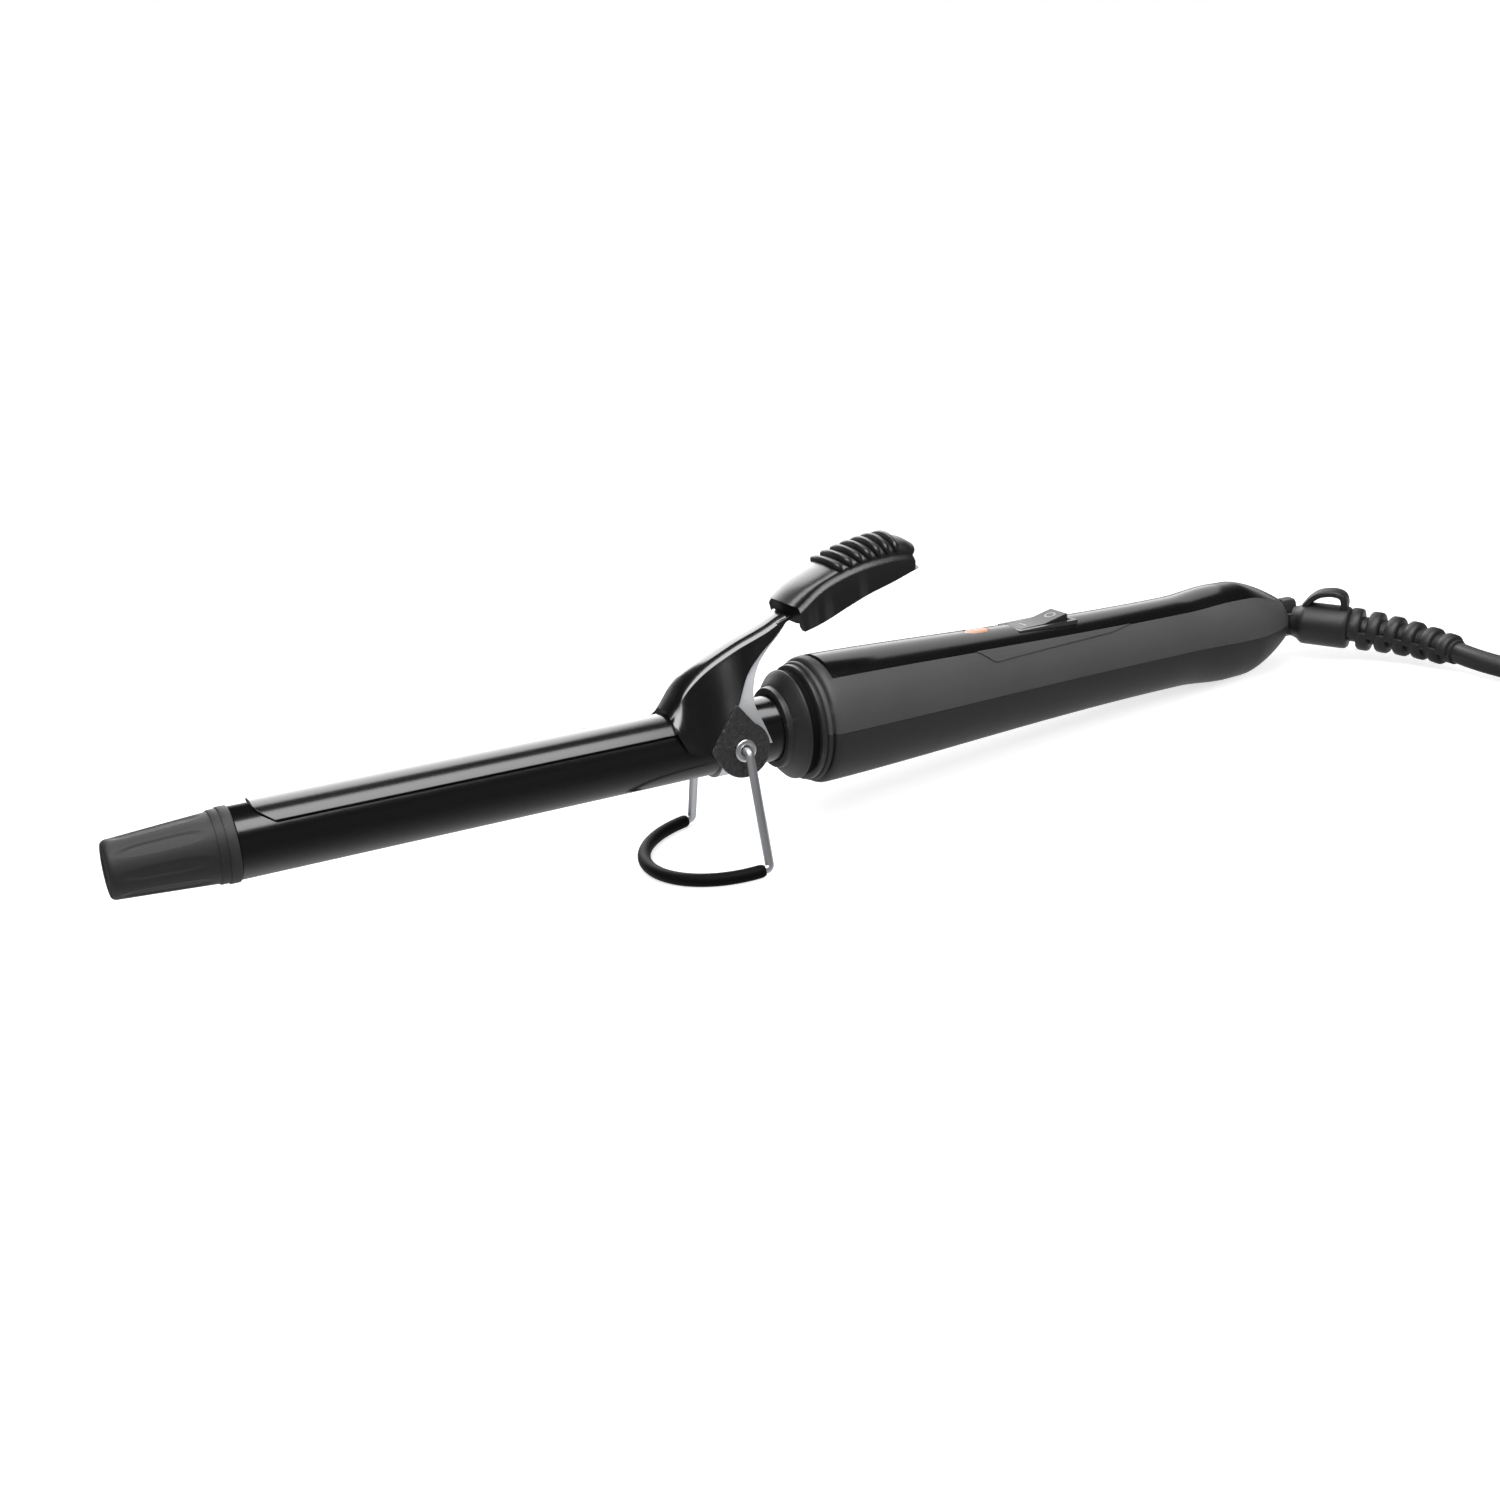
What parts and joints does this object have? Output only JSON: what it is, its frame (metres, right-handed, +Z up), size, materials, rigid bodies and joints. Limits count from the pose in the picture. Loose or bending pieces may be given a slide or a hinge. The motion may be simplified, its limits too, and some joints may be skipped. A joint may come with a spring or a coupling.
{
  "type": "curling iron",
  "caption": "Curling iron with a coated barrel, sprung clamp and thumb lever, folding wire stand, tapered handle with a lit rocker switch, and a swivel mains cord with plug.",
  "frame": {"origin": "on the table under the middle of the iron, measured without its cord", "axes": "+X along the iron towards the handle and cord, +Z up, so the thumb lever is on top and -Y is the side with the cord coil"},
  "size_m": [0.4684, 0.1213, 0.067],
  "materials": {
    "dark_plastic": "moulded heat-resistant plastic, satin",
    "barrel_coat": "black ceramic coating, glossy",
    "lever_enamel": "black enamel on stamped steel, glossy",
    "thumb_plastic": "black moulded plastic, semi-gloss",
    "spring_steel": "drawn spring wire",
    "plated_steel": "zinc plate, satin",
    "bright_steel": "bright nickel plate",
    "stand_steel": "bright drawn wire",
    "soft_sleeve": "soft silicone, matte",
    "aluminium": "extruded, bare",
    "ceramic_dark": "sintered ceramic",
    "brass": "rolled, bare",
    "amber_film": "polyimide film",
    "ceramic_pale": "glazed ceramic",
    "phenolic": "moulded phenolic",
    "collar_plastic": "moulded heat-resistant plastic, fine grain",
    "handle_lower_plastic": "moulded plastic, fine matte grain",
    "handle_plastic": "moulded plastic, fine matte grain",
    "panel_gloss": "black, high gloss",
    "lamp_orange": "translucent orange",
    "led_resin": "clear tinted resin",
    "board_green": "solder mask on glass epoxy",
    "component_brown": "lacquered components",
    "switch_plastic": "moulded nylon, satin",
    "lead_white": "glass-fibre sleeve",
    "lead_brown": "PVC insulation",
    "swivel_plastic": "moulded nylon",
    "cord_rubber": "soft PVC, satin",
    "tie_nylon": "hook-and-loop strip",
    "plug_plastic": "moulded soft PVC, satin"
  },
  "bodies": {
    "handle": {"cool_tip": "dark_plastic", "barrel": "barrel_coat", "pivot_bracket": "plated_steel", "pivot_rivets": "bright_steel", "heat_spreaders": "aluminium", "ptc_elements": "ceramic_dark", "electrode_strips": "brass", "heater_film": "amber_film", "thermal_fuse": "ceramic_pale", "barrel_bush": "phenolic", "front_collar": "collar_plastic", "handle_lower": "handle_lower_plastic", "handle_upper": "handle_plastic", "top_panel": "panel_gloss", "lamp_lens": "lamp_orange", "indicator_led": "led_resin", "circuit_board": "board_green", "board_parts": "component_brown", "switch_body": "switch_plastic", "switch_terminals": "brass", "handle_screws": "plated_steel", "heater_leads": "lead_white", "supply_leads": "lead_brown", "swivel_housing": "swivel_plastic", "swivel_brushes": "brass"},
    "lever": {"lever": "lever_enamel", "clamp": "barrel_coat", "thumb_rest": "thumb_plastic", "return_springs": "spring_steel"},
    "stand": {"stand_wire": "stand_steel", "stand_sleeve": "soft_sleeve"},
    "rocker": {"switch_rocker": "switch_plastic"},
    "swivel": {"swivel_rotor": "switch_plastic", "slip_rings": "brass", "tilt_pin": "plated_steel"},
    "cord": {"strain_relief": "cord_rubber", "cord_lead": "cord_rubber", "cord_coil": "cord_rubber", "cord_tie": "tie_nylon", "cord_tail": "cord_rubber", "plug_body": "plug_plastic", "plug_pins": "bright_steel"}
  },
  "joints": [
    {"name": "lever_hinge", "type": "hinge", "parent": "handle", "child": "lever", "pos_m": [-0.01729, 0, 0.02812], "axis": [0, 1, 0], "range_deg": [0, 17], "stiffness_Nm_per_rad": 0.4, "springref_deg": -20.05, "deforming": ["return_springs"]},
    {"name": "stand_hinge", "type": "hinge", "parent": "handle", "child": "stand", "pos_m": [-0.01729, 0, 0.02812], "axis": [0, 1, 0], "range_deg": [-95, 30]},
    {"name": "rocker_tilt", "type": "hinge", "parent": "handle", "child": "rocker", "pos_m": [0.07527, 0, 0.02932], "axis": [0, 1, 0], "range_deg": [0, 14]},
    {"name": "cord_swivel", "type": "hinge", "parent": "handle", "child": "swivel", "pos_m": [0.132, 0, 0.01352], "axis": [0.9953, 0, -0.0973], "continuous": true},
    {"name": "cord_tilt", "type": "hinge", "parent": "swivel", "child": "cord", "pos_m": [0.15439, 0, 0.01133], "axis": [0.097, -0.0872, 0.9915], "range_deg": [0, 110]}
  ]
}
